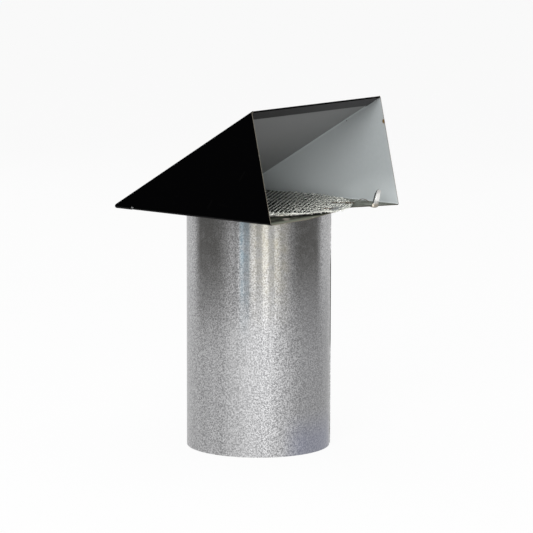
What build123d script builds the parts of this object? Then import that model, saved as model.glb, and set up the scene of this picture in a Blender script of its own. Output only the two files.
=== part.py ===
from build123d import *

import os
from math import atan2, cos, degrees, radians, sin, sqrt, tan

# Round exterior wall vent: a folded, painted sheet hood on a short galvanised duct pipe.
# It stands on the cut end of its pipe. Millimetres.
# Origin: centre of the pipe's cut end. +Z: along the pipe, towards the hood. -Y: the way the mouth faces.

# Duct pipe, rolled from sheet and lapped
pipe_diameter = 101.6
pipe_sheet = 0.5
pipe_length = 170.2  # from the cut end to the underside of the hood's base
lap_width = 11.0  # double layer along the seam, on the outside
lap_edge_angle = -51.0  # where the lap's free edge runs down the pipe, from +X
bead_height = 1.5  # rolled bead just under the base, which stands this far proud
flange_radius = 61.3  # outward flange that clamps the base from above, its edge folded back on top
flange_hem = 5.0
flange_hem_gap = 0.3

# Hood, one folded sheet, black outside and primed inside
hood_sheet = 0.5
hood_width = 142.8
hood_front = 70.0  # pipe axis to the front edge of the base
hood_rear = 76.6  # pipe axis to the line where the roof would meet the base; the rear fold cuts it short
hood_height = 76.5
lip_setback = 17.3  # how far the top of the mouth leans back from its foot
side_bend = 1.5  # outside radius of the long folds
rear_bend = 1.7  # and of the fold at the rear
hem_depth = 12.8  # front edge of the roof, folded back inside
hem_gap = 0.3
hem_inset = 1.3  # hem's ends, in from the outside of the side walls
hem_corner = 2.0
wall_flange = 20.3  # strip folded forward from the rear, which lies on the wall, from the same line
flap_seam = 14.0  # where the two base flaps meet, right of the pipe's axis
seam_gap = 0.4
left_mitre_start = -30.0  # the left flap's front edge turns back here
left_mitre_end = 8.0
right_mitre_end = 33.0

# Bird screen, woven from fine wire
wire_diameter = 0.6
wire_pitch = 3.175  # eight wires to the inch
weave_angle = 29.0
screen_radius = 66.5
screen_wall = 0.4
gap_size = 2.4
gap_step_across = 4  # wires from one gap to the next
gap_step_along = 3

# Clip, a bent strip that hooks on the right flap's front edge
clip_width = 5.0
clip_top_width = 4.0
clip_edge = 0.4  # thickness at the strip's edges
clip_crown = 1.0  # and along its middle
clip_height = 11.8  # above the underside of the base
clip_foot = 6.0  # length under the flap
clip_place = 18.0  # from the front right corner, along the mitred edge
clip_lean = 2.7  # its top leans this far towards that corner
clip_bend = 0.2

# Clearances
seat_gap = 0.1  # between faces that rest on each other
hole_clearance = 0.5  # round the pipe, in the base
clip_clearance = 0.1

# Derived sizes
pipe_radius = pipe_diameter / 2
bore_radius = pipe_radius - pipe_sheet
base_bottom = pipe_length
base_top = base_bottom + hood_sheet
bead_top = base_bottom - seat_gap
bead_bottom = bead_top - 2 * bead_height
flange_bottom = base_top + seat_gap
flange_top = flange_bottom + 2 * pipe_sheet + flange_hem_gap
screen_bottom = flange_top + seat_gap
half_width = hood_width / 2
roof_angle = atan2(hood_height, hood_front - lip_setback + hood_rear)
mouth_lean = atan2(lip_setback, hood_height)
mouth_top = (-hood_front + lip_setback, base_bottom + hood_height)


def roof_point(down, depth):
    """Point (y, z) this far down the roof from its front edge and this deep under its outside."""
    return (
        mouth_top[0] + down * cos(roof_angle) - depth * sin(roof_angle),
        mouth_top[1] - down * sin(roof_angle) - depth * cos(roof_angle),
    )


roof_length = (hood_rear - mouth_top[0]) / cos(roof_angle)


def circle_y(radius, x):
    """Height y of a circle about the pipe's axis, at this x."""
    return sqrt(radius**2 - x**2)


# Front fold: the sheet turns back on itself round this centre
fold_radius = hood_sheet + hem_gap / 2
fold_mid = fold_radius - hood_sheet / 2
hem_mid_depth = fold_radius + fold_mid
roof_mid_depth = fold_radius - fold_mid

# Rear fold: the roof's sheet turns forward into the plane of the flaps
base_mid = base_bottom + hood_sheet / 2
rear_down = (mouth_top[1] - roof_mid_depth * cos(roof_angle) - base_mid) / sin(roof_angle)
rear_corner = roof_point(rear_down, roof_mid_depth)
wall_flange_front = hood_rear - wall_flange
flap_rear = wall_flange_front - seam_gap
flange_run = hood_rear - rear_bend / tan(roof_angle / 2) - wall_flange_front

# Plane of the roof's outside, x across the hood and y down the slope
roof_plane = Plane(
    origin=(0, *mouth_top),
    x_dir=(1, 0, 0),
    z_dir=(0, sin(roof_angle), cos(roof_angle)),
)
# Plane square to the side folds, at the top of the mouth, looking down the slope
section_plane = Plane(
    origin=(0, *mouth_top),
    x_dir=(1, 0, 0),
    z_dir=(0, -cos(roof_angle), sin(roof_angle)),
)

with BuildPart() as hood:
    # Side walls with their bends at the roof: an L section carried along the slope
    wall_drop = hood_height + lip_setback
    with BuildSketch(section_plane):
        for side in (-1, 1):
            with BuildLine():
                wall_x = side * (half_width - hood_sheet / 2)
                Line((wall_x, -wall_drop), (wall_x, -side_bend))
                CenterArc(
                    (side * (half_width - side_bend), -side_bend),
                    side_bend - hood_sheet / 2,
                    0 if side > 0 else 90,
                    90,
                )
            trace(line_width=hood_sheet)
    extrude(amount=roof_length + wall_drop, both=True)
    with BuildSketch(Plane.XY.offset(base_bottom + side_bend)):
        with Locations((0, flap_rear)):
            Rectangle(4 * hood_width, 6 * hood_width, align=(Align.CENTER, Align.MAX))
    extrude(amount=-2 * wall_drop, mode=Mode.SUBTRACT)

    # Base flaps with their bends at the walls, from the front edge to the wall flange
    with BuildSketch(Plane.XZ.offset(-flap_rear)):
        for side in (-1, 1):
            with BuildLine():
                CenterArc(
                    (side * (half_width - side_bend), base_bottom + side_bend),
                    side_bend - hood_sheet / 2,
                    270 if side > 0 else 180,
                    90,
                )
                Line(
                    (side * (half_width - side_bend), base_bottom + hood_sheet / 2),
                    (flap_seam + side * seam_gap / 2, base_bottom + hood_sheet / 2),
                )
            trace(line_width=hood_sheet)
    extrude(amount=flap_rear + hood_front)

    # Pipe hole and mitred front edges of the flaps
    with BuildSketch(Plane.XY.offset(base_bottom)):
        Circle(pipe_radius + hole_clearance)
        with BuildLine():
            left_end = (left_mitre_end, -circle_y(flange_radius, left_mitre_end))
            right_end = (right_mitre_end, -circle_y(flange_radius, right_mitre_end))
            right_start = (half_width - side_bend, -hood_front)
            Polyline(
                right_end,
                right_start,
                (right_start[0], -2 * hood_front),
                (left_mitre_start, -2 * hood_front),
                (left_mitre_start, -hood_front),
                left_end,
            )
            RadiusArc(left_end, right_end, -flange_radius)
        make_face()
    extrude(amount=hood_sheet, mode=Mode.SUBTRACT)

    # Outline from the side: foot of the mouth, top of the mouth, rear fold
    with BuildSketch(Plane.YZ) as side_outline:
        with BuildLine():
            Polyline((-hood_front, base_bottom), mouth_top, (hood_rear, base_bottom), close=True)
        make_face()
        fillet(side_outline.vertices().group_by(Axis.X)[-1], rear_bend)
    extrude(amount=half_width, both=True, mode=Mode.INTERSECT)

    # Roof, with the rear fold and the wall flange, which closes the corners between the walls
    with BuildSketch(Plane.YZ):
        with BuildLine():
            FilletPolyline(
                roof_point(fold_radius, roof_mid_depth),
                rear_corner,
                (wall_flange_front, base_mid),
                radius=rear_bend - hood_sheet / 2,
            )
        trace(line_width=hood_sheet)
    extrude(amount=half_width - side_bend, both=True)
    with BuildSketch(Plane.XY.offset(base_bottom)):
        with Locations((0, wall_flange_front)):
            Rectangle(hood_width, flange_run, align=(Align.CENTER, Align.MIN))
    extrude(amount=hood_sheet)

    # Hem: the front fold and the strip that lies back under the roof
    with BuildSketch(Plane.YZ):
        with BuildLine():
            ThreePointArc(
                roof_point(fold_radius, roof_mid_depth),
                roof_point(fold_radius - fold_mid, fold_radius),
                roof_point(fold_radius, hem_mid_depth),
            )
        trace(line_width=hood_sheet)
    extrude(amount=half_width - hem_inset, both=True)
    hem_length = hem_depth - fold_radius
    with BuildSketch(roof_plane.offset(-hem_mid_depth - hood_sheet / 2)) as hem_outline:
        with Locations((0, fold_radius + hem_length / 2)):
            Rectangle(2 * (half_width - hem_inset), hem_length)
        fillet(hem_outline.vertices().group_by(Axis.Y)[-1], hem_corner)
    extrude(amount=hood_sheet)

# The flange's edge is folded back in a V
fold_half = (flange_top - flange_bottom) / 2
fold_inside = flange_radius - pipe_sheet * sqrt(2)

with BuildPart() as pipe:
    # Wall, bead and flange as one section, turned about the pipe's axis
    with BuildSketch(Plane.XZ):
        with BuildLine():
            Polyline(
                (pipe_radius, 0),
                (pipe_radius, bead_bottom),
                (pipe_radius + bead_height, bead_top - bead_height),
                (pipe_radius, bead_top),
                (bore_radius, bead_top),
                (bore_radius + bead_height, bead_top - bead_height),
                (bore_radius, bead_bottom),
                (bore_radius, 0),
                close=True,
            )
        make_face()
        with BuildLine():
            Polyline(
                (pipe_radius, bead_top),
                (pipe_radius, flange_bottom),
                (flange_radius - fold_half, flange_bottom),
                (flange_radius, flange_bottom + fold_half),
                (flange_radius - fold_half, flange_top),
                (flange_radius - flange_hem, flange_top),
                (flange_radius - flange_hem, flange_top - pipe_sheet),
                (fold_inside - flange_hem_gap / 2, flange_top - pipe_sheet),
                (fold_inside, flange_bottom + fold_half),
                (fold_inside - flange_hem_gap / 2, flange_bottom + pipe_sheet),
                (bore_radius, flange_bottom + pipe_sheet),
                (bore_radius, bead_top),
                close=True,
            )
        make_face()
    revolve(axis=Axis.Z)

    # Lap: the free edge of the rolled sheet lies outside the other for this width
    lap_angle = degrees(lap_width / pipe_radius)
    with BuildSketch():
        with BuildLine():
            CenterArc((0, 0), pipe_radius + pipe_sheet / 2, lap_edge_angle, lap_angle)
        trace(line_width=pipe_sheet)
    extrude(amount=bead_bottom)

# The screen's wires run along this plane's x, and across it
weave_plane = Plane(
    origin=(0, 0, screen_bottom),
    x_dir=(cos(radians(weave_angle)), sin(radians(weave_angle)), 0),
    z_dir=(0, 0, 1),
)
wires_across = 2 * int(screen_radius / wire_pitch) + 1
screen_thickness = screen_wall + wire_diameter
wall_bottom = (screen_thickness - screen_wall) / 2

with BuildPart() as bird_screen:
    # Two corrugated sheets at right angles share one wall: the wires show as ridges on each face
    for turn, wire_z in ((0, wire_diameter / 2), (90, screen_thickness - wire_diameter / 2)):
        along = weave_plane.rotated((0, 0, turn))
        ridge_plane = Plane(origin=along.origin - along.x_dir * screen_radius, x_dir=along.y_dir, z_dir=along.x_dir)
        with BuildSketch(ridge_plane):
            with Locations((0, wall_bottom + screen_wall / 2)):
                Rectangle(2 * screen_radius, screen_wall)
            with Locations((0, wire_z)):
                with GridLocations(wire_pitch, 0, wires_across, 1):
                    RegularPolygon(wire_diameter / 2, 6)
        extrude(amount=2 * screen_radius)
    with BuildSketch(weave_plane):
        Circle(screen_radius)
    extrude(amount=screen_thickness, mode=Mode.INTERSECT)

    # Open meshes, as many as keep the model light
    cell = wire_pitch / 2
    reach = screen_radius - wire_pitch
    with BuildSketch(weave_plane):
        for i in range(-wires_across, wires_across, gap_step_across):
            for j in range(-wires_across, wires_across, gap_step_along):
                x, y = i * wire_pitch + cell, j * wire_pitch + cell
                if x * x + y * y < reach * reach:
                    with Locations((x, y)):
                        Rectangle(gap_size, gap_size)
    extrude(amount=screen_thickness, mode=Mode.SUBTRACT)

# The clip stands on the right flap's mitred edge: x out of the hood, y up, z along the edge
edge_start = Vector(half_width - side_bend, -hood_front)
edge_end = Vector(right_mitre_end, -circle_y(flange_radius, right_mitre_end))
edge_dir = (edge_end - edge_start).normalized()
edge_point = edge_start + edge_dir * clip_place
edge_out = Vector(-edge_dir.Y, edge_dir.X)
clip_plane = Plane(
    origin=(edge_point.X, edge_point.Y, base_bottom), x_dir=edge_out, z_dir=edge_dir
)


def crowned_strip(width):
    """Section of the clip's strip: a flat back and a crowned face."""
    with BuildSketch() as section:
        with BuildLine():
            Polyline((width / 2, clip_edge), (width / 2, 0), (-width / 2, 0), (-width / 2, clip_edge))
            ThreePointArc((-width / 2, clip_edge), (0, clip_crown), (width / 2, clip_edge))
        make_face()
    return section.sketch


with BuildPart() as edge_clip:
    # Foot under the flap, turned up round its edge
    stem_start = hood_sheet + clip_clearance
    with BuildLine(clip_plane) as foot_path:
        FilletPolyline(
            (-clip_foot, -clip_clearance),
            (clip_clearance, -clip_clearance),
            (clip_clearance, stem_start),
            radius=clip_bend,
        )
    with BuildSketch(Plane(foot_path.line @ 0, x_dir=edge_dir, z_dir=edge_out)):
        add(crowned_strip(clip_width))
    sweep(path=foot_path.line)

    # Stem: narrows and leans towards the corner, with a rounded tip
    stem_base = clip_plane.from_local_coords(Vector(clip_clearance, stem_start))
    stem_tip = clip_plane.from_local_coords(Vector(clip_clearance, clip_height, -clip_lean))
    for end, width in ((stem_base, clip_width), (stem_tip, clip_top_width)):
        with BuildSketch(Plane(end, x_dir=edge_dir, z_dir=(0, 0, 1))):
            add(crowned_strip(width))
    loft()
    tip_radius = clip_top_width / 2
    with BuildSketch(Plane(clip_plane.origin, x_dir=-edge_dir, z_dir=edge_out)):
        with Locations((clip_lean, clip_height - tip_radius)):
            Circle(tip_radius)
        with Locations((0, clip_height - tip_radius)):
            Rectangle(4 * clip_width, 2 * clip_height, align=(Align.CENTER, Align.MAX))
    extrude(amount=2 * clip_foot, both=True, mode=Mode.INTERSECT)

sub_parts = {"hood": hood, "pipe": pipe, "bird_screen": bird_screen, "edge_clip": edge_clip}
os.makedirs("parts", exist_ok=True)
for name, sub_part in sub_parts.items():
    sub_part.part.label = name
    export_step(sub_part.part, f"parts/{name}.step")
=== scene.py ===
"""Looks of the round exterior wall vent: sheet hood, duct pipe, woven bird screen and edge clip."""

import math
import random

import bpy
from mathutils import Matrix, Vector


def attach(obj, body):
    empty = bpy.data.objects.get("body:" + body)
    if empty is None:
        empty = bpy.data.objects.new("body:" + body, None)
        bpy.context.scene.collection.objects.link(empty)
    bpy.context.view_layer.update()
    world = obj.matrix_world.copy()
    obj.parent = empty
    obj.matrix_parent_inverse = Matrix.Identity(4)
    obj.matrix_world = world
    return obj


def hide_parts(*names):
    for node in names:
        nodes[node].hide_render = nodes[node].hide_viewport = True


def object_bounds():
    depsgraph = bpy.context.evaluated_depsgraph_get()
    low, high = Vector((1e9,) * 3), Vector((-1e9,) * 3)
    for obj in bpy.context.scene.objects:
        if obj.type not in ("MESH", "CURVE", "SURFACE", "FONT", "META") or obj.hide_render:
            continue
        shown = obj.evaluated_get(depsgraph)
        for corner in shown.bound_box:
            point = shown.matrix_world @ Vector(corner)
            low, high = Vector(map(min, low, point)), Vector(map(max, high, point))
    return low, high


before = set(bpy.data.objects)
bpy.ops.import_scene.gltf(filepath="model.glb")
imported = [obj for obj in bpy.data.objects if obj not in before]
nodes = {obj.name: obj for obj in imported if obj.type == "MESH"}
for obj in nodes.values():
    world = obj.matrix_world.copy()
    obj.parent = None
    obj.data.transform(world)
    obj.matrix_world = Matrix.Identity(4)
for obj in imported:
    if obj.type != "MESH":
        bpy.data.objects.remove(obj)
cad_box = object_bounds()
MM = 0.001

# Camera: a long lens at the front left, looking down a little, aimed near the middle of the vent
VIEW_AZIMUTH = math.radians(-50.464)
VIEW_ELEVATION = math.radians(8.665)
VIEW_ROLL = math.radians(0.132)
VIEW_DISTANCE = 2.2463
AIM_SIDE = 0.00566
AIM_HEIGHT = 0.12728
FRAME_PIXELS = 533
FOCAL_PIXELS = 3173.7
SENSOR = 36.0
CLIP_RANGE = (0.05, 50)

# Studio, in metres and watts; each lamp's name, place, aim, size and power
FLOOR_REACH = 6.0
FLOOR_DROP = 0.0002
FLOOR_TONES = (0.56, 0.6)
FLOOR_WHITE = 0.93
WORLD_LIGHT = 0.32
LAMPS = (
    ("key_lamp", (-1.34, -0.74, 1.12), (0, 0, 0.17), (0.95, 1.1), 25),
    ("front_lamp", (-1.05, -1.46, 0.10), (0, 0, 0.13), (0.5, 0.35), 7),
    ("top_lamp", (0, 0, 1.4), (0, 0, 0), (1.4, 1.4), 16),
    ("rear_left_lamp", (0.42, 1.54, 0.45), (0, 0, 0.1), (1.1, 0.8), 5),
    ("rear_right_lamp", (1.6, 0.12, 0.45), (0, 0, 0.1), (1.1, 0.8), 2.6),
)

# Hood, in millimetres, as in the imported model
WALL_X = cad_box[1][0] / MM
HOOD_FRONT = cad_box[0][1] / MM
HOOD_TOP = cad_box[1][2] / MM
LIP_SETBACK = 17.3
LIP_FRONT = HOOD_FRONT + LIP_SETBACK
HOOD_REAR = 76.6
SHEET = 0.5
BASE_BOTTOM = 170.2
BASE_TOP = BASE_BOTTOM + SHEET
HEM_LENGTH = 12.8
HEM_DEPTHS = (0.75, 1.6)
HOOD_MIDDLE = 195.0
# Height and width of the painted highlight along the left wall's lower bend
BEND_HEIGHT = 1.1
BEND_WIDTH = 1.8
FLAP_BEND = 1.6
TOUCH = 0.1

# Shares of a face's normal along an axis: above these the face is square to it, or leans to it
SQUARE = 0.9
LEANING = 0.5

# Scratches and dirt on the left wall: start and end as y and z, width and grey level
SIDE_MARKS = (
    ((-17.8, 183.2), (-13.8, 176.9), 0.35, 17),
    ((-47.2, 205.5), (-41.9, 198.2), 0.35, 17),
    ((-24.0, 181.0), (-32.0, 180.0), 0.6, 11),
    ((54.6, 171.2), (56.6, 171.6), 1.0, 120),
)
# Spots on the left flap: x, y, size and tone
FLAP_MARKS = (
    (-41.0, -58.6, 3.4, (150, 140, 134)),
    (-46.0, -63.0, 2.4, (122, 116, 108)),
    (-23.0, -68.0, 1.6, (150, 150, 144)),
    (-33.0, -60.0, 3.0, (74, 74, 68)),
)
# Primer: y and z between which painted light makes it paler
DEEP_PAINTED_LIGHT = (-55.0, 25.0)
LOW_PAINTED_LIGHT = (198.0, 172.0)
# Flaps: x where the painted shade on the left one ends and the bare edge turns darker, and the front in y
# that painted light makes paler
DARK_FLAP_END = 5.0
FLAP_FRONT = (-60.0, -67.0)
# Marks on the walls as y, z and size, the rust only beyond an x, and a nick in the right edge as z and size
WALL_DOT = (-22.8, 226.8, 0.6)
WALL_RUST = (-56.4, 228.8, 2.2)
WALL_RUST_FROM = 60.0
EDGE_NICK = (229.0, 2.2)

# Pipe, in millimetres; places and sides are arc lengths round it from the side about which the painted
# reflections and shade are placed
PIPE_RADIUS = 50.8
BORE_DEPTH = 0.3
LAP_RISE = 0.02
PAINTED_LIGHT_SIDE = math.radians(-140.46)
REFLECTION_PITCH = 8.64
REFLECTION_PHASE = 3.8
LAP_EDGE = 79.3
LAP_EDGE_WIDTH = 1.0
SEEN_SIDE = (80.0, 60.0)
REFLECTION_REACH = (13.0, 21.0)
FLANK_START = (9.0, 33.0)
FLANK_END = (46.0, 56.0)
SHADE_SIDE = (16.0, 40.0)
COOL_SIDE = (14.0, 36.0)
# Heights between which each of these fades in
REFLECTION_HEIGHTS = (72.0, 140.0)
FLANK_HEIGHTS = (60.0, 150.0)
SHADE_HEIGHTS = (150.0, 90.0)
COOL_HEIGHTS = (34.0, 6.0)
LAP_LINE_FOOT = (66.0, 76.0)
LAP_LINE_TOP = (138.0, 128.0)
# Painted reflections and a painted sheen down the pipe: place, half width where it fades out and where it is
# full, heights likewise, share and tone
BLUE_REFLECTION = (-9.6, (4.6, 2.0), (70.0, 165.0), 0.5, (128, 164, 182))
WARM_REFLECTION = (8.0, (18.0, 8.0), (80.0, 150.0), 0.4, (188, 180, 152))
PAINTED_SHEEN = (-12.0, (15.0, 6.0), (112.0, 80.0), 0.17, (226, 226, 227))

# Clip: heights between which the painted highlight of its core starts, ends and gives way to the dull foot
HIGHLIGHT_START = (173.2, 174.4)
HIGHLIGHT_END = (181.5, 178.0)
DULL_FOOT = (173.0, 171.2)

# Bird screen, in millimetres
SCREEN_RADIUS = 66.5
SCREEN_HEIGHT = 172.8
PITCH = 3.175
WEAVE_ANGLE = math.radians(29)
WARP_WIRE = 0.6
WEFT_WIRE = 0.28
LOOSE_WIRE = 0.5
WARP_CRIMP = 0.07
WEFT_CRIMP = 0.16
WARP_LEVEL = 0.1
WEFT_LEVEL = -0.2
WIRE_SIDES = 5
SEED = 7

# How far wires lie out of place: off their row, swaying, short of the rim, and their loose end pieces
ROW_PLAY = 0.05
ROW_SWAY = 0.25
SWAY_LENGTH = 17
END_TRIM = 1.4
END_CURL = 3
LOOSE_FROM = 10
LOOSE_SPREAD = 1.6
LOOSE_RISE = 0.5

# Slack ripples in the cloth, and the crease across its front right part, seen from above
RIPPLE_RISE = 0.14
RIPPLE_LENGTHS = (8, 11)
FOLD_TURN = math.radians(-50.5)
FOLD_LINE = 0.7
FOLD_START = 51.5
FOLD_RISE = 0.6
FOLD_WIDTH = 2.2
RIM_DROOP = 1.2
DROOP_LENGTH = 34
RUST_WIDTH = 2.4

# The cloth's painted light: arcs and a bright front by distance along the crease, and the rim's painted
# highlight by radius and past it
ARC_PITCH = 11.0
ARC_REACH = (12.0, 30.0)
BRIGHT_FRONT = (28.0, 60.0)
BRIGHT_RIM = (63.5, 64.3)
RIM_START = (0.0, 8.0)
# Rust at the front edge, as y and its reach, and x from and to; and beyond a corner of x and y
RIM_RUST = (-55.6, 2.2, 4.0, 16.0)
STRAY_RUST = (56.0, -42.0)

# Loops at the rim as turn and size, bunched wires as radii between two turns, and stray ends point by point
RIM_LOOPS = ((-134.5, 1.5), (-131.5, 1.0), (-128.5, 1.3), (-125, 0.8), (-119, 0.7))
LOOP_INSET = 1.5
LOOP_STEPS = 10
RIM_BUNDLE = (64.6, 65.3, 65.9)
BUNDLE_TURNS = range(-136, -46, 2)
STRAY_ENDS = (
    ((40.0, -52.6, 173.0), (44.0, -50.4, 173.3), (49.0, -48.4, 173.3), (55.1, -45.9, 172.8)),
    (
        (57.6, -45.0, 172.8),
        (61.0, -44.6, 173.1),
        (64.3, -43.3, 172.8),
        (65.5, -45.6, 172.0),
        (64.0, -48.5, 171.2),
    ),
    ((37.5, -53.5, 172.2), (40.5, -52.2, 172.9), (43.0, -51.2, 172.3)),
    ((38.5, -51.0, 172.6), (41.2, -51.6, 173.2), (42.0, -53.0, 172.4)),
)


class Surface:
    """A node material written as calls: each one adds a node and gives back its output."""

    def __init__(self, name):
        self.material = bpy.data.materials.new(name)
        self.material.use_nodes = True
        self.tree = self.material.node_tree
        self.shader = self.tree.nodes["Principled BSDF"]
        coordinates = self.tree.nodes.new("ShaderNodeTexCoord")
        scale = self.tree.nodes.new("ShaderNodeVectorMath")
        scale.operation = "SCALE"
        scale.inputs["Scale"].default_value = 1 / MM
        self.tree.links.new(coordinates.outputs["Object"], scale.inputs[0])
        self.place = scale.outputs[0]
        geometry = self.tree.nodes.new("ShaderNodeNewGeometry")
        self.x, self.y, self.z = self.split(self.place)
        self.nx, self.ny, self.nz = self.split(geometry.outputs["True Normal"])

    def link(self, value, socket):
        if isinstance(value, bpy.types.NodeSocket):
            self.tree.links.new(value, socket)
        else:
            socket.default_value = value

    def split(self, vector):
        node = self.tree.nodes.new("ShaderNodeSeparateXYZ")
        self.tree.links.new(vector, node.inputs[0])
        return node.outputs

    def join(self, x, y, z):
        node = self.tree.nodes.new("ShaderNodeCombineXYZ")
        for value, socket in zip((x, y, z), node.inputs):
            self.link(value, socket)
        return node.outputs[0]

    def math(self, operation, *values):
        node = self.tree.nodes.new("ShaderNodeMath")
        node.operation = operation
        for value, socket in zip(values, node.inputs):
            self.link(value, socket)
        return node.outputs[0]

    def plus(self, a, b):
        return self.math("ADD", a, b)

    def minus(self, a, b):
        return self.math("SUBTRACT", a, b)

    def times(self, a, b):
        return self.math("MULTIPLY", a, b)

    def over(self, value, limit):
        return self.math("GREATER_THAN", value, limit)

    def under(self, value, limit):
        return self.math("LESS_THAN", value, limit)

    def size(self, value):
        return self.math("ABSOLUTE", value)

    def apart(self, a, b):
        """Distance between two values."""
        return self.size(self.minus(a, b))

    def away(self, u, v):
        """Distance from the origin of two coordinates."""
        return self.math("SQRT", self.plus(self.times(u, u), self.times(v, v)))

    def toward(self, turn, x, y):
        """How far two coordinates reach in the direction of this turn."""
        return self.plus(self.times(x, math.cos(turn)), self.times(y, math.sin(turn)))

    def wave(self, value, pitch):
        return self.math("COSINE", self.times(value, 2 * math.pi / pitch))

    def blend(self, share, a, b):
        node = self.tree.nodes.new("ShaderNodeMix")
        node.data_type = "RGBA"
        for value, index in ((share, 0), (a, 6), (b, 7)):
            self.link(value, node.inputs[index])
        return node.outputs[2]

    def span(self, value, low, high, first=0.0, last=1.0):
        """A smooth step of the value, from first at low to last at high."""
        node = self.tree.nodes.new("ShaderNodeMapRange")
        node.interpolation_type = "SMOOTHSTEP"
        for item, index in ((value, 0), (low, 1), (high, 2), (first, 3), (last, 4)):
            self.link(item, node.inputs[index])
        return node.outputs[0]

    def both(self, *masks):
        result = masks[0]
        for mask in masks[1:]:
            result = self.times(result, mask)
        return result

    def any(self, *masks):
        result = masks[0]
        for mask in masks[1:]:
            result = self.math("MAXIMUM", result, mask)
        return result

    def spot(self, a, a_at, b, b_at, size):
        """A round mark of this size about a point of two coordinates."""
        return self.span(self.away(self.minus(a, a_at), self.minus(b, b_at)), size, size * 0.4)

    def stroke(self, start, end, width):
        """A thin line across a side wall between two points given as y and z."""
        turn = math.atan2(end[1] - start[1], end[0] - start[0])
        u, v = self.minus(self.y, start[0]), self.minus(self.z, start[1])
        ahead = self.toward(turn, u, v)
        aside = self.toward(turn + math.pi / 2, u, v)
        return self.both(
            self.span(self.size(aside), width, width * 0.3),
            self.over(ahead, 0.0),
            self.under(ahead, math.dist(start, end)),
        )

    def noise(self, scale, detail=2.0, roughness=0.5, distortion=0.0, place=None):
        node = self.tree.nodes.new("ShaderNodeTexNoise")
        self.tree.links.new(place or self.place, node.inputs["Vector"])
        node.inputs["Scale"].default_value = scale
        node.inputs["Detail"].default_value = detail
        node.inputs["Roughness"].default_value = roughness
        node.inputs["Distortion"].default_value = distortion
        return node.outputs["Fac"]

    def bump(self, height, strength, distance):
        node = self.tree.nodes.new("ShaderNodeBump")
        node.inputs["Strength"].default_value = strength
        node.inputs["Distance"].default_value = distance
        self.tree.links.new(height, node.inputs["Height"])
        self.tree.links.new(node.outputs[0], self.shader.inputs["Normal"])

    def set(self, **values):
        for name, value in values.items():
            self.link(value, self.shader.inputs[name.replace("_", " ")])


def grey(red, green=None, blue=None):
    """A screen colour, 0 to 255 a channel, as linear light."""
    channels = (red, red if green is None else green, red if blue is None else blue)
    linear = [(c / 255) ** 2.2 for c in channels]
    return (*linear, 1.0)


def dress(node, surface):
    mesh = nodes[node].data
    if not mesh.materials:
        mesh.materials.append(surface.material)
    for index in range(len(mesh.materials)):
        mesh.materials[index] = surface.material


def black_paint(s, side_face, hem_face):
    """Paint with faint scratches, a painted highlight along the lower bend, and the hem painted grey as a
    painted reflection.
    """
    scratch_place = s.join(s.times(s.x, 0.5), s.times(s.y, 0.12), s.times(s.z, 0.5))
    scratches = s.noise(2.2, detail=3.0, roughness=0.7, distortion=0.4, place=scratch_place)
    paint = s.blend(s.span(scratches, 0.7, 0.78), grey(8, 8, 9), grey(30, 30, 32))
    for start, end, width, level in SIDE_MARKS:
        mark = s.both(side_face, s.stroke(start, end, width))
        paint = s.blend(mark, paint, grey(level))
    # Painted highlight along the rounded lower bend of the left wall
    bend = s.both(s.under(s.z, BASE_BOTTOM + BEND_HEIGHT), s.under(s.x, BEND_WIDTH - WALL_X))
    paint = s.blend(bend, paint, grey(36))
    # The hem's black paint is painted grey here: a painted reflection of the light inside
    hem_reflection = s.blend(s.span(s.x, -WALL_X, WALL_X), grey(64, 64, 64), grey(77, 77, 78))
    return s.blend(hem_face, paint, hem_reflection)


def primer(s, mottle, wall_face):
    """Blue-grey primer with painted light and shade: darker on the roof than on the walls, paler deep inside
    and low down, darker and smeared on the flaps, painted shade on the left flap with a paler painted-lit
    front, and a few marks.
    """
    # Painted shade: the roof's primer is darker than the walls'
    shaded_roof_tone = s.blend(mottle, grey(124, 125, 125), grey(134, 135, 135))
    wall_tone = s.blend(mottle, grey(154, 159, 160), grey(166, 171, 172))
    # Painted light: the primer paler deep inside and low down
    painted_light_tone = s.blend(wall_face, grey(154, 155, 155), grey(200, 206, 207))
    deep = s.span(s.y, *DEEP_PAINTED_LIGHT)
    low = s.span(s.z, *LOW_PAINTED_LIGHT, last=0.55)
    tone = s.blend(s.any(deep, low), s.blend(wall_face, shaded_roof_tone, wall_tone), painted_light_tone)

    flap = s.both(s.under(s.z, BASE_TOP + 2 * TOUCH), s.over(s.nz, LEANING))
    # Painted shade on the left flap, with painted light at its front
    shaded_left_flap = s.both(flap, s.under(s.x, DARK_FLAP_END))
    smear = s.span(s.noise(0.12, detail=4.0, roughness=0.6, distortion=0.6), 0.4, 0.62)
    pale = s.any(s.times(smear, 0.35), s.span(s.y, *FLAP_FRONT))
    tone = s.blend(flap, tone, s.blend(smear, grey(96, 99, 92), grey(134, 137, 130)))
    tone = s.blend(shaded_left_flap, tone, s.blend(pale, grey(34, 35, 31), grey(104, 107, 96)))
    for x, y, size, colour in FLAP_MARKS:
        tone = s.blend(s.both(flap, s.spot(s.x, x, s.y, y, size)), tone, grey(*colour))

    dot_y, dot_z, dot_size = WALL_DOT
    dot = s.both(wall_face, s.spot(s.y, dot_y, s.z, dot_z, dot_size))
    tone = s.blend(dot, tone, grey(90, 92, 90))
    rust_y, rust_z, rust_size = WALL_RUST
    rust = s.both(wall_face, s.over(s.x, WALL_RUST_FROM), s.spot(s.y, rust_y, s.z, rust_z, rust_size))
    return s.blend(rust, tone, grey(104, 82, 52))


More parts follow.
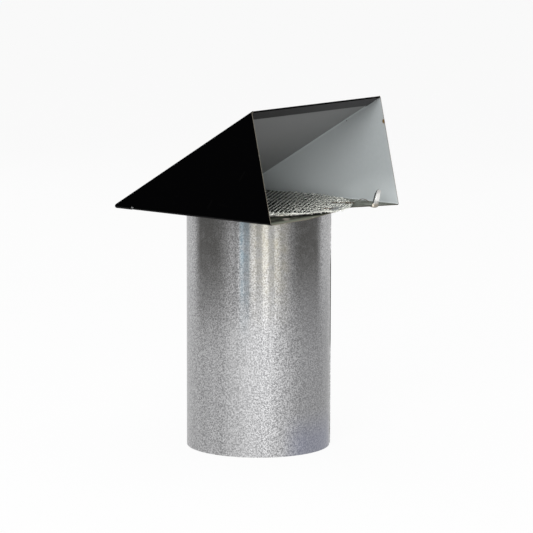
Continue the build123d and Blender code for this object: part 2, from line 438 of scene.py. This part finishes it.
def painted_sheet():
    """Black paint outside, primer inside, the hem showing the paint side, cut edges bare."""
    s = Surface("painted_sheet")
    slope = math.atan2(HOOD_TOP - BASE_BOTTOM, HOOD_REAR - LIP_FRONT)
    roof_level = LIP_FRONT * math.sin(slope) + HOOD_TOP * math.cos(slope)
    depth = s.minus(roof_level, s.plus(s.times(s.y, math.sin(slope)), s.times(s.z, math.cos(slope))))
    outward = s.plus(s.times(s.x, s.nx), s.times(s.y, s.ny))
    outward = s.plus(outward, s.times(s.minus(s.z, HOOD_MIDDLE), s.nz))
    inner = s.under(outward, 0.0)
    across = s.size(s.nx)
    wide = s.size(s.x)
    hem = s.both(
        s.over(depth, HEM_DEPTHS[0]),
        s.under(depth, HEM_DEPTHS[1]),
        s.under(s.y, LIP_FRONT + HEM_LENGTH),
        s.under(across, SQUARE),
    )

    mottle = s.noise(0.5, detail=4.0, roughness=0.6)
    side_face = s.both(s.under(s.x, TOUCH - WALL_X), s.over(across, SQUARE))
    inside = s.both(inner, s.minus(1.0, hem))
    paint = black_paint(s, side_face, s.both(hem, inner))
    colour = s.blend(inside, paint, primer(s, mottle, s.over(across, LEANING)))

    wall_edge = s.both(
        s.over(wide, WALL_X - SHEET - TOUCH),
        s.under(across, LEANING),
        s.under(s.ny, -0.3),
        s.over(s.z, BASE_TOP + 2 * TOUCH),
    )
    flap_edge = s.both(
        s.under(s.z, BASE_TOP + TOUCH),
        s.under(s.size(s.nz), LEANING),
        s.under(wide, WALL_X - FLAP_BEND),
    )
    roof_edge = s.both(s.over(across, SQUARE), s.under(wide, WALL_X - SHEET - 2 * TOUCH))
    bare = s.blend(s.noise(1.5), grey(84, 80, 72), grey(136, 130, 118))
    bare = s.blend(s.both(flap_edge, s.over(s.x, DARK_FLAP_END)), bare, grey(52, 44, 36))
    nick_z, nick_size = EDGE_NICK
    nick = s.both(wall_edge, s.over(s.x, 0.0), s.spot(s.z, nick_z, s.z, nick_z, nick_size))
    bare = s.blend(nick, bare, grey(88, 62, 34))
    colour = s.blend(s.any(wall_edge, flap_edge, roof_edge), colour, bare)
    s.set(Base_Color=colour, Roughness=s.span(mottle, 0.2, 0.8, 0.5, 0.62), Specular_IOR_Level=0.005)
    s.bump(s.noise(1.1, detail=3.0), 0.1, 0.0002)
    return s


def pipe_band(s, colour, facing, band, patches=1.0):
    """Tints the colour along one stripe down the pipe."""
    place, widths, heights, share, tone = band
    mask = s.both(s.span(s.apart(facing, place), *widths), s.span(s.z, *heights, last=share), patches)
    return s.blend(mask, colour, grey(*tone))


def galvanised():
    """Dull zinc: dark grain and soft runs down the pipe, with painted reflection stripes, tints and sheen on
    the front, painted shade on the flanks, the right side and the lap's edge, and a bore darkened as painted
    shade.
    """
    s = Surface("galvanised_pipe")
    turn = s.times(s.math("ARCTAN2", s.y, s.x), PIPE_RADIUS)
    radius = s.away(s.x, s.y)
    ahead = s.toward(PAINTED_LIGHT_SIDE, s.x, s.y)
    aside = s.toward(PAINTED_LIGHT_SIDE + math.pi / 2, s.x, s.y)
    facing = s.times(s.math("ARCTAN2", aside, ahead), PIPE_RADIUS)
    side = s.size(facing)

    grain = s.noise(0.95, roughness=0.8)
    flecks = s.span(s.noise(1.3, detail=1.0), 0.5, 0.68, last=0.35)
    runs = s.noise(0.11, detail=3.0, place=s.join(turn, 0.0, s.times(s.z, 0.02)))
    colour = s.blend(s.span(grain, 0.36, 0.64), grey(122, 122, 123), grey(195, 195, 196))
    colour = s.blend(flecks, colour, grey(90, 90, 92))
    colour = s.blend(s.span(runs, 0.35, 0.7, last=0.1), colour, grey(200, 200, 202))

    patches = s.span(s.noise(0.16, detail=3.0, roughness=0.6), 0.3, 0.7, first=0.4)
    # Painted reflections: a blue streak and a warm band on the front, and a bluish tint low on the right
    colour = pipe_band(s, colour, facing, BLUE_REFLECTION, patches)
    colour = pipe_band(s, colour, facing, WARM_REFLECTION, patches)
    visible_side = s.span(side, *SEEN_SIDE)
    cool_reflection = s.both(s.span(facing, *COOL_SIDE), s.span(s.z, *COOL_HEIGHTS, last=0.32), visible_side)
    colour = s.blend(cool_reflection, colour, grey(132, 140, 182))

    # Painted reflection: bright and dark stripes down the front of the pipe under the hood
    reflection_stripes = s.both(
        s.span(side, *REFLECTION_REACH, 1.0, 0.0),
        s.span(s.z, *REFLECTION_HEIGHTS),
        s.span(s.wave(s.plus(facing, REFLECTION_PHASE), REFLECTION_PITCH), -0.8, 0.8, 0.56, 0.0),
    )
    colour = s.blend(reflection_stripes, colour, grey(96, 97, 98))
    # Painted shade on the pipe's flanks under the hood
    flank_shade = s.both(
        s.span(s.noise(0.14, detail=4.0, roughness=0.65), 0.34, 0.56, 0.92, 1.02),
        s.span(side, *FLANK_START),
        s.span(side, *FLANK_END, 1.0, 0.0),
        s.span(s.z, *FLANK_HEIGHTS, last=0.88),
    )
    colour = s.blend(flank_shade, colour, grey(70, 69, 67))
    # Painted shade on the right side of the pipe under the hood
    dull = s.both(s.span(facing, *SHADE_SIDE, last=0.4), visible_side, s.span(s.z, *SHADE_HEIGHTS))
    colour = s.blend(dull, colour, grey(110, 110, 112))

    # Painted shadow along the lap's edge
    lap_shadow = s.both(
        s.over(radius, PIPE_RADIUS + LAP_RISE),
        s.under(s.apart(facing, LAP_EDGE), LAP_EDGE_WIDTH),
        s.over(s.toward(PAINTED_LIGHT_SIDE, s.nx, s.ny), 0.8),
        s.span(s.z, *LAP_LINE_FOOT),
        s.span(s.z, *LAP_LINE_TOP),
    )
    colour = s.blend(lap_shadow, colour, grey(30, 27, 22))
    # Painted sheen on the front of the pipe
    colour = pipe_band(s, colour, facing, PAINTED_SHEEN)
    # Painted shade in the bore
    bore = s.both(s.under(radius, PIPE_RADIUS - BORE_DEPTH), s.under(s.z, BASE_TOP + TOUCH / 2))
    colour = s.blend(bore, colour, grey(46, 47, 46))
    s.set(Base_Color=colour, Metallic=0.9, Roughness=s.span(grain, 0.3, 0.7, 0.36, 0.46))
    s.bump(grain, 0.35, 0.0004)
    return s


def bright_strip():
    """The clip's plated strip: a painted highlight down its core, painted shade on its left side and right
    edge, warm and dull at the foot.
    """
    s = Surface("bright_strip")
    smear = s.span(s.noise(0.3, detail=3.0), 0.42, 0.6)
    colour = s.blend(smear, grey(190, 189, 186), grey(118, 117, 113))
    # Painted highlight down the clip's core
    core = s.both(s.span(s.z, *HIGHLIGHT_START), s.span(s.z, *HIGHLIGHT_END))
    colour = s.blend(core, colour, grey(236, 235, 232))
    # Painted shade on the side facing left and on the right edge
    left = s.toward(VIEW_AZIMUTH + math.pi, s.nx, s.ny)
    colour = s.blend(s.span(left, -0.4, 0.0), colour, grey(44, 46, 46))
    colour = s.blend(s.span(left, -0.8, -0.95), colour, grey(74, 74, 74))
    colour = s.blend(s.span(s.z, *DULL_FOOT), colour, grey(150, 144, 134))
    s.set(Base_Color=colour, Metallic=0.95, Roughness=0.3)
    s.bump(s.noise(1.2), 0.3, 0.0004)
    return s


def screen_wire():
    """Zinc wire in painted light and shade: lit and shaded stripes, lit arcs and front, tops lighter than
    sides, a painted highlight at the rim; rusty at the crease and the stray end.
    """
    s = Surface("screen_wire")
    along = s.toward(FOLD_TURN, s.x, s.y)
    over = s.toward(FOLD_TURN - math.pi / 2, s.x, s.y)
    # Painted shade: stripes of lit and shaded wire across the weave, with lit arcs and a lit front
    stripes = s.span(s.wave(s.toward(WEAVE_ANGLE + math.pi / 2, s.x, s.y), PITCH), -0.5, 0.6)
    arcs = s.wave(s.minus(over, s.times(along, 2.0)), ARC_PITCH)
    arcs = s.both(s.span(arcs, -0.3, 0.8, last=0.95), s.span(along, *ARC_REACH))
    lit = s.any(stripes, arcs, s.span(along, *BRIGHT_FRONT, last=0.95))
    rim = s.both(s.span(s.away(s.x, s.y), *BRIGHT_RIM), s.span(over, *RIM_START))
    # Painted light: wire tops lighter than their sides, and a painted highlight at the rim
    tone = s.any(s.both(lit, s.span(s.nz, -0.4, 0.45)), rim)
    patches = s.noise(0.25, detail=3.0)
    bright = s.blend(patches, grey(222, 224, 213), grey(253, 253, 247))
    colour = s.blend(tone, grey(34, 38, 32), bright)

    crease = s.both(s.under(s.apart(over, FOLD_LINE), RUST_WIDTH), s.over(along, FOLD_START))
    nick_y, reach, nick_from, nick_to = RIM_RUST
    nick = s.both(s.under(s.apart(s.y, nick_y), reach), s.over(s.x, nick_from), s.under(s.x, nick_to))
    stray = s.both(s.over(s.x, STRAY_RUST[0]), s.under(s.y, STRAY_RUST[1]))
    rust = s.blend(patches, grey(64, 46, 30), grey(112, 90, 66))
    colour = s.blend(s.any(crease, nick, stray), colour, rust)
    s.set(Base_Color=colour, Metallic=0.85, Roughness=0.32)
    s.bump(s.noise(3.0), 0.2, 0.0001)
    return s


class Wires:
    """Closed round wires, gathered into one mesh in metres from routes in millimetres."""

    def __init__(self):
        self.verts = []
        self.faces = []

    def add(self, route, diameter):
        points = [point * MM for point in route]
        radius = diameter / 2 * MM
        start = len(self.verts)
        for index, point in enumerate(points):
            ahead = points[min(index + 1, len(points) - 1)] - points[max(index - 1, 0)]
            ahead.normalize()
            side = ahead.cross(Vector((0, 0, 1))).normalized()
            above = side.cross(ahead)
            for step in range(WIRE_SIDES):
                angle = 2 * math.pi * (step + 0.5) / WIRE_SIDES
                out = side * (radius * math.cos(angle)) + above * (radius * math.sin(angle))
                self.verts.append(point + out)
        for ring in range(len(points) - 1):
            first = start + ring * WIRE_SIDES
            for step in range(WIRE_SIDES):
                near = first + step
                far = first + (step + 1) % WIRE_SIDES
                self.faces.append((near, far, far + WIRE_SIDES, near + WIRE_SIDES))
        last = start + (len(points) - 1) * WIRE_SIDES
        self.faces.append(tuple(start + step for step in reversed(range(WIRE_SIDES))))
        self.faces.append(tuple(last + step for step in range(WIRE_SIDES)))


def ease(value, low, high):
    t = min(1.0, max(0.0, (value - low) / (high - low)))
    return t * t * (3 - 2 * t)


def past_fold(place):
    """How far a place lies to the front left of the crease's line."""
    return place.x * math.sin(FOLD_TURN) - place.y * math.cos(FOLD_TURN)


def round_rim(turn, radius):
    return Vector((math.cos(math.radians(turn)), math.sin(math.radians(turn)), 0)) * radius


def sag(place):
    """Height of the cloth above its mean level: slack ripples, a crease and the front rim bent down."""
    along = place.x * math.cos(FOLD_TURN) + place.y * math.sin(FOLD_TURN)
    over = past_fold(place)
    ripple_x = math.sin(place.x / RIPPLE_LENGTHS[0] + 1.3)
    ripple_y = math.sin(place.y / RIPPLE_LENGTHS[1] + 0.4)
    ripple = RIPPLE_RISE * ripple_x * ripple_y
    bent = ease(along, FOLD_START - 5, FOLD_START + 1)
    crease = FOLD_RISE * math.exp(-((over - FOLD_LINE) / FOLD_WIDTH) ** 2)
    return ripple + bent * (crease - RIM_DROOP * ease(over, FOLD_LINE, FOLD_LINE + DROOP_LENGTH))


def ragged(draw, end):
    """How far a cut end turns up, most of all at the front left corner."""
    if past_fold(end) < 0:
        return draw.uniform(-0.2, 0.2)
    return draw.uniform(-0.4, 0.5) if end.x > -30 else draw.uniform(-0.3, 1.9)


def cloth_wires(wires, draw):
    """Warp and weft over and under each other, cut to a disc, with short loose pieces at the front left."""
    rows = int(SCREEN_RADIUS / PITCH)
    for family, diameter, crimp in ((0, WARP_WIRE, WARP_CRIMP), (1, WEFT_WIRE, WEFT_CRIMP)):
        angle = WEAVE_ANGLE + family * math.pi / 2
        along = Vector((math.cos(angle), math.sin(angle), 0))
        across = Vector((-along.y, along.x, 0))
        for row in range(-rows, rows + 1):
            offset = row * PITCH + draw.uniform(-ROW_PLAY, ROW_PLAY)
            half = math.sqrt(SCREEN_RADIUS**2 - offset**2)
            low = -half + draw.uniform(0, END_TRIM)
            high = half - draw.uniform(0, END_TRIM)
            sign = -1 if (row + family) % 2 else 1
            sway = draw.uniform(-ROW_SWAY, ROW_SWAY)
            sunk = family and row % 4
            level = SCREEN_HEIGHT + (WEFT_LEVEL if sunk else WARP_LEVEL)
            curl_low = ragged(draw, along * low + across * offset)
            curl_high = ragged(draw, along * high + across * offset)
            steps = int((high - low) / (PITCH / 3))
            route = []
            for index in range(steps + 1):
                t = low + (high - low) * index / steps
                place = along * t + across * (offset + sway * math.sin(t / SWAY_LENGTH + row))
                curl = curl_low * ease(low + END_CURL - t, 0, END_CURL)
                curl += curl_high * ease(t - high + END_CURL, 0, END_CURL)
                place.z = level + sign * crimp * math.cos(math.pi * t / PITCH) + curl + sag(place)
                route.append(place)
            wires.add(route, diameter)
            for end in (route[0], route[-1]):
                if past_fold(end) > LOOSE_FROM:
                    round_way = Vector((-end.y, end.x, 0)).normalized()
                    spread = round_way * draw.uniform(-LOOSE_SPREAD, LOOSE_SPREAD)
                    rise = Vector((0, 0, draw.uniform(-LOOSE_RISE, LOOSE_RISE)))
                    wires.add([end, end + spread / 2 + rise, end + spread], LOOSE_WIRE)


def rim_loops(wires):
    """Small upright loops of wire at the front left."""
    lean = Vector((math.cos(FOLD_TURN), math.sin(FOLD_TURN), 0))
    for turn, size in RIM_LOOPS:
        route = []
        for index in range(LOOP_STEPS + 1):
            bend = math.pi * (index / LOOP_STEPS * 1.3 - 0.15)
            place = round_rim(turn, SCREEN_RADIUS - LOOP_INSET) + lean * (size * 0.8 * math.cos(bend))
            place.z = SCREEN_HEIGHT + size * (0.4 + math.sin(bend))
            route.append(place)
        wires.add(route, LOOSE_WIRE)


def rim_bundle(wires):
    """Wires bunched along the front rim."""
    for bundle, radius in enumerate(RIM_BUNDLE):
        route = []
        for turn in BUNDLE_TURNS:
            place = round_rim(turn, radius + 0.35 * math.sin(turn / 7 + 2.1 * bundle))
            place.z = SCREEN_HEIGHT + 0.3 + 0.2 * math.sin(turn / 4 + bundle) + sag(place)
            route.append(place)
        wires.add(route, LOOSE_WIRE)


def woven_screen(surface):
    """Plain-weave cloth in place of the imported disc, with loops, a bunched rim and stray ends."""
    wires = Wires()
    cloth_wires(wires, random.Random(SEED))
    rim_loops(wires)
    rim_bundle(wires)
    for route in STRAY_ENDS:
        wires.add([Vector(point) for point in route], LOOSE_WIRE)
    mesh = bpy.data.meshes.new("woven_screen")
    mesh.from_pydata(wires.verts, [], wires.faces)
    mesh.validate()
    for polygon in mesh.polygons:
        polygon.use_smooth = True
    mesh.materials.append(surface.material)
    piece = bpy.data.objects.new("woven_screen", mesh)
    bpy.context.scene.collection.objects.link(piece)
    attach(piece, "root")
    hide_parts("bird_screen")


def camera():
    across = Vector((math.cos(VIEW_AZIMUTH), math.sin(VIEW_AZIMUTH), 0))
    ahead = Vector((
        -math.sin(VIEW_AZIMUTH) * math.cos(VIEW_ELEVATION),
        math.cos(VIEW_AZIMUTH) * math.cos(VIEW_ELEVATION),
        -math.sin(VIEW_ELEVATION),
    ))
    over = across.cross(ahead)
    right = across * math.cos(VIEW_ROLL) + over * math.sin(VIEW_ROLL)
    above = over * math.cos(VIEW_ROLL) - across * math.sin(VIEW_ROLL)
    eye = across * AIM_SIDE + Vector((0, 0, AIM_HEIGHT)) - ahead * VIEW_DISTANCE
    data = bpy.data.cameras.new("camera")
    data.sensor_width = SENSOR
    data.lens = FOCAL_PIXELS / FRAME_PIXELS * SENSOR
    data.clip_start, data.clip_end = CLIP_RANGE
    made = bpy.data.objects.new("camera", data)
    made.matrix_world = Matrix((
        (right.x, above.x, -ahead.x, eye.x),
        (right.y, above.y, -ahead.y, eye.y),
        (right.z, above.z, -ahead.z, eye.z),
        (0, 0, 0, 1),
    ))
    bpy.context.scene.collection.objects.link(made)
    bpy.context.scene.camera = made


def lamp(name, place, aim, size, power):
    data = bpy.data.lights.new(name, "AREA")
    data.shape = "RECTANGLE"
    data.size, data.size_y = size
    data.energy = power
    made = bpy.data.objects.new(name, data)
    made.location = place
    made.rotation_euler = (Vector(aim) - Vector(place)).to_track_quat("-Z", "Y").to_euler()
    bpy.context.scene.collection.objects.link(made)


def seen_ray(tree):
    """One for rays from the camera and for reflected and refracted rays, which all see the white backdrop."""
    path = tree.nodes.new("ShaderNodeLightPath")
    value = path.outputs["Is Camera Ray"]
    for name in ("Is Glossy Ray", "Is Transmission Ray"):
        either = tree.nodes.new("ShaderNodeMath")
        either.operation = "MAXIMUM"
        tree.links.new(value, either.inputs[0])
        tree.links.new(path.outputs[name], either.inputs[1])
        value = either.outputs[0]
    return value


def studio_floor():
    """A pale floor that fades into the white backdrop and keeps the vent's shadow."""
    mesh = bpy.data.meshes.new("floor")
    signs = ((-1, -1), (1, -1), (1, 1), (-1, 1))
    corners = [(x * FLOOR_REACH, y * FLOOR_REACH, 0) for x, y in signs]
    mesh.from_pydata(corners, [], [(0, 1, 2, 3)])
    floor = bpy.data.objects.new("floor", mesh)
    floor.location.z = -FLOOR_DROP
    bpy.context.scene.collection.objects.link(floor)
    s = Surface("floor")
    tones = [(tone, tone, tone, 1) for tone in FLOOR_TONES]
    s.set(Base_Color=s.blend(s.noise(0.01), *tones), Roughness=0.9)
    glow = s.tree.nodes.new("ShaderNodeEmission")
    mix = s.tree.nodes.new("ShaderNodeMixShader")
    s.tree.links.new(s.times(seen_ray(s.tree), FLOOR_WHITE), mix.inputs[0])
    s.tree.links.new(s.shader.outputs[0], mix.inputs[1])
    s.tree.links.new(glow.outputs[0], mix.inputs[2])
    s.tree.links.new(mix.outputs[0], s.tree.nodes["Material Output"].inputs["Surface"])
    mesh.materials.append(s.material)


def studio_world():
    """Soft light all round, seen as a white backdrop."""
    world = bpy.data.worlds.new("studio")
    world.use_nodes = True
    bpy.context.scene.world = world
    tree = world.node_tree
    light = tree.nodes["Background"]
    light.inputs["Color"].default_value = (1, 1, 1, 1)
    light.inputs["Strength"].default_value = WORLD_LIGHT
    seen = tree.nodes.new("ShaderNodeBackground")
    seen.inputs["Strength"].default_value = 1.0
    mix = tree.nodes.new("ShaderNodeMixShader")
    tree.links.new(seen_ray(tree), mix.inputs[0])
    tree.links.new(light.outputs[0], mix.inputs[1])
    tree.links.new(seen.outputs[0], mix.inputs[2])
    tree.links.new(mix.outputs[0], tree.nodes["World Output"].inputs["Surface"])


camera()
studio_floor()
studio_world()
for settings in LAMPS:
    lamp(*settings)
dress("hood", painted_sheet())
dress("pipe", galvanised())
dress("edge_clip", bright_strip())
wire_surface = screen_wire()
dress("bird_screen", wire_surface)
woven_screen(wire_surface)

scene = bpy.context.scene
scene.view_settings.view_transform = "Standard"
